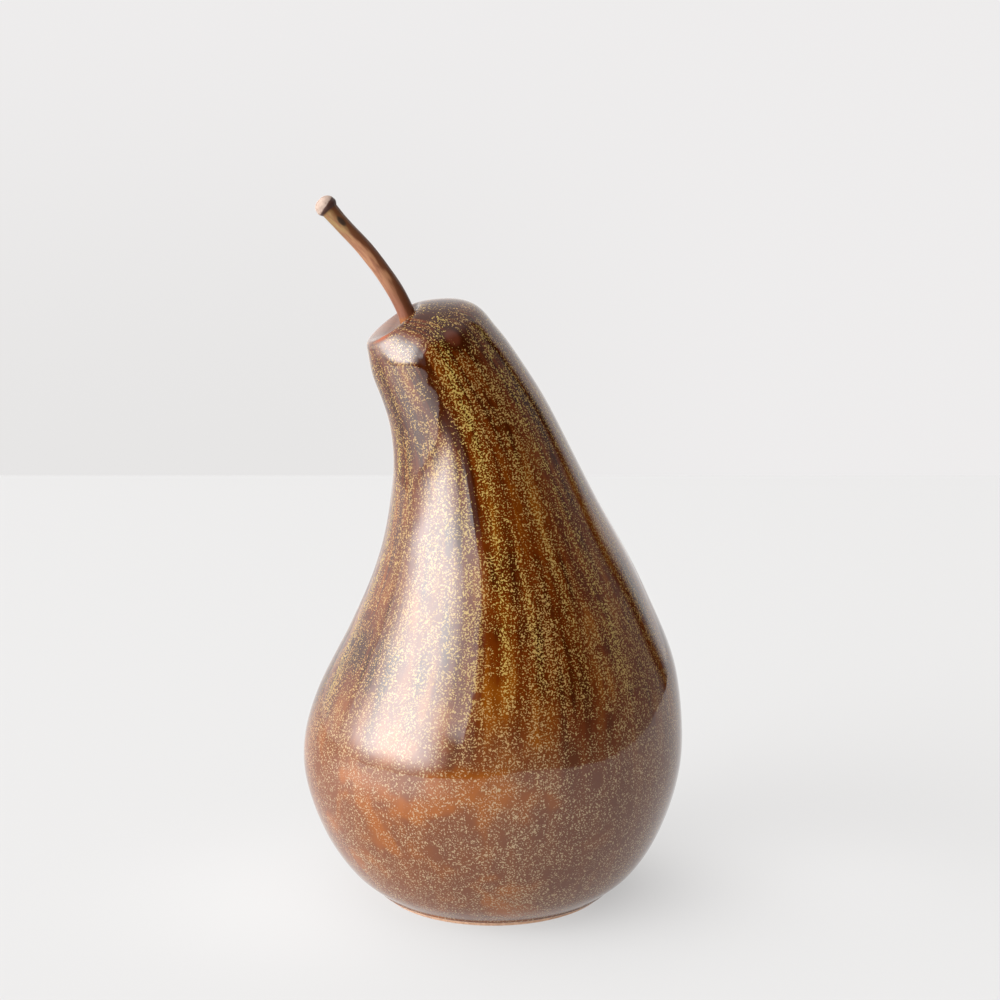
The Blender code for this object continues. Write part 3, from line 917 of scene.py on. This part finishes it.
def window_light(name, setback, radiance, lit):
    """One share of the window's light; shares are set back from each other so that none hides the next."""
    light = area_light(name, out * (WINDOW_DISTANCE + setback) + Vector((0, 0, WINDOW_HEIGHT / 2)),
                       WINDOW_WIDTH, WINDOW_HEIGHT, radiance)
    light.rotation_euler = (-out).to_track_quat("-Z", "Y").to_euler()
    light.light_linking.receiver_collection = lit
    return light


# The glaze mirrors the whole window, but the dark glass under its surface takes in only its softer half.
window_on_table = window_light("window_on_table", 0.0, WINDOW_RADIANCE, table_alone)
window_on_pear = window_light("window_on_pear", WINDOW_SETBACK, WINDOW_RADIANCE * SOFT_HALF, pear_pieces)
window_in_glaze = window_light("window_in_glaze", 2 * WINDOW_SETBACK, WINDOW_RADIANCE * (1.0 - SOFT_HALF),
                               pear_pieces)
window_in_glaze.visible_diffuse = False

# A broad soft box overhead lights the table alone and keeps the shadow on it pale.
OVERHEAD_PLACE = Vector((0.0, 0.0, 2.0))
OVERHEAD_SIDE = 4.0
OVERHEAD_RADIANCE = 1.7
overhead = area_light("overhead", OVERHEAD_PLACE, OVERHEAD_SIDE, OVERHEAD_SIDE, OVERHEAD_RADIANCE)
overhead.visible_glossy = False
overhead.light_linking.receiver_collection = table_alone

# A soft fill from the front opens up the glaze's shaded side.
FILL_PLACE = Vector((-0.3, -2.6, 0.7))
FILL_SIDE = 2.6
FILL_RADIANCE = 1.2
fill = area_light("fill", FILL_PLACE, FILL_SIDE, FILL_SIDE, FILL_RADIANCE)
fill.rotation_euler = (-FILL_PLACE).to_track_quat("-Z", "Y").to_euler()
fill.visible_glossy = False
fill.light_linking.receiver_collection = pear_pieces

# The window is brightest in its middle and fades to its curtained sides, its head and its sill. Places on it
# are shares of its width and height; each fade is (from, to, its light there, its light here).
LEFT_FADE = (0.05, 0.42, 0.10, 1.0)
RIGHT_FADE = (0.86, 0.56, 0.03, 1.0)
SILL_FADE = (0.005, 0.10, 0.12, 1.0)
HEAD_FADE = (0.92, 0.25, 0.10, 1.0)
CURTAIN_EDGE = (0.925, 0.905)
CURTAIN_FOOT = (0.14, 0.28)
CURTAIN_SHARE = 0.37
for window in (window_on_table, window_on_pear, window_in_glaze):
    pane = Nodes(window.data)
    over, up, _ = pane.split(pane.node("ShaderNodeNewGeometry").outputs["Parametric"])
    curtain = pane.times(pane.step(over, *CURTAIN_EDGE), pane.step(up, *CURTAIN_FOOT))
    right_share = pane.math("MAXIMUM", pane.ease(over, *RIGHT_FADE), pane.times(curtain, CURTAIN_SHARE))
    side_shares = pane.times(pane.ease(over, *LEFT_FADE), right_share)
    end_shares = pane.times(pane.ease(up, *SILL_FADE), pane.ease(up, *HEAD_FADE))
    pane.put(pane.times(side_shares, end_shares), pane.tree.nodes["Emission"].inputs["Strength"])

# The room: a pale wall on the left, a dark side in front and on the right, and a pale end behind. Turns are
# in degrees from the front and heights in degrees above the table. A pair says where one tone gives way.
WALL_LIGHT = (1.9, 1.85, 1.8)
ROOM_DARK = (0.02, 0.018, 0.016)
ROOM_RIGHT = (0.38, 0.36, 0.34)
ROOM_BEHIND = (1.15, 1.13, 1.12)
CEILING = (0.9, 0.88, 0.88)
BACKDROP = (0.855, 0.842, 0.842)
BACKDROP_LOW = (0.80, 0.79, 0.785)
RIGHT_WALL_FROM = (55.0, 105.0)
DARK_DOOR_FROM = (122.0, 128.0)
BEHIND_FROM = (130.0, 142.0)
WALL_ENDS = (-112.0, -140.0)
WALL_FROM = (-30.0, -60.0)
CEILING_FROM = (36.0, 66.0)
DOOR_LEAN = 0.55
BACKDROP_LEFT = (-0.10, 0.12)
BACKDROP_LOW_BELOW = (-12.0, 0.0)
world = bpy.data.worlds.new("room")
bpy.context.scene.world = world
room = Nodes(world)
towards_x, towards_y, towards_z = room.split(room.node("ShaderNodeTexCoord").outputs["Generated"])
height_at = room.times(room.math("ARCSINE", towards_z), math.degrees(1.0))
turn_at = room.times(room.math("ARCTAN2", towards_x, room.times(towards_y, -1.0)), math.degrees(1.0))
leaning = room.add(turn_at, room.times(height_at, DOOR_LEAN))
right_side = room.mix(room.step(turn_at, *RIGHT_WALL_FROM), ROOM_DARK, ROOM_RIGHT)
right_side = room.mix(room.step(leaning, *DARK_DOOR_FROM), right_side, ROOM_DARK)
right_side = room.mix(room.step(leaning, *BEHIND_FROM), right_side, ROOM_BEHIND)
left_side = room.mix(room.step(turn_at, *WALL_ENDS), WALL_LIGHT, ROOM_BEHIND)
around = room.mix(room.step(turn_at, *WALL_FROM), right_side, left_side)
around = room.mix(room.step(height_at, *CEILING_FROM), around, CEILING)

# Straight to the camera the room is a plain pale backdrop, a shade darker low on the left.
backdrop_low = room.mix(room.step(towards_x, *BACKDROP_LEFT), BACKDROP_LOW, BACKDROP)
backdrop = room.mix(room.step(height_at, *BACKDROP_LOW_BELOW), backdrop_low, BACKDROP)
seen = room.node("ShaderNodeLightPath").outputs["Is Camera Ray"]
room.put(room.mix(seen, around, backdrop), room.tree.nodes["Background"].inputs["Color"])
bpy.context.scene.view_settings.view_transform = "Standard"

# ------------------------------------------------------------------------------------------------------
# Camera: a long portrait lens a little above the ornament, looking slightly down at it from the front.

CAMERA_TARGET = Vector((0.0018, 0.0, 0.10975))
CAMERA_DISTANCE = 0.6375
CAMERA_RISE = 13.0
LENS = 85.0
SENSOR = 36.0

camera_data = bpy.data.cameras.new("camera")
camera_data.lens = LENS
camera_data.sensor_width = SENSOR
camera = bpy.data.objects.new("camera", camera_data)
bpy.context.scene.collection.objects.link(camera)
rise = math.radians(CAMERA_RISE)
camera.location = CAMERA_TARGET + Vector((0.0, -math.cos(rise), math.sin(rise))) * CAMERA_DISTANCE
camera.rotation_euler = (math.radians(90.0) - rise, 0.0, 0.0)
bpy.context.scene.camera = camera
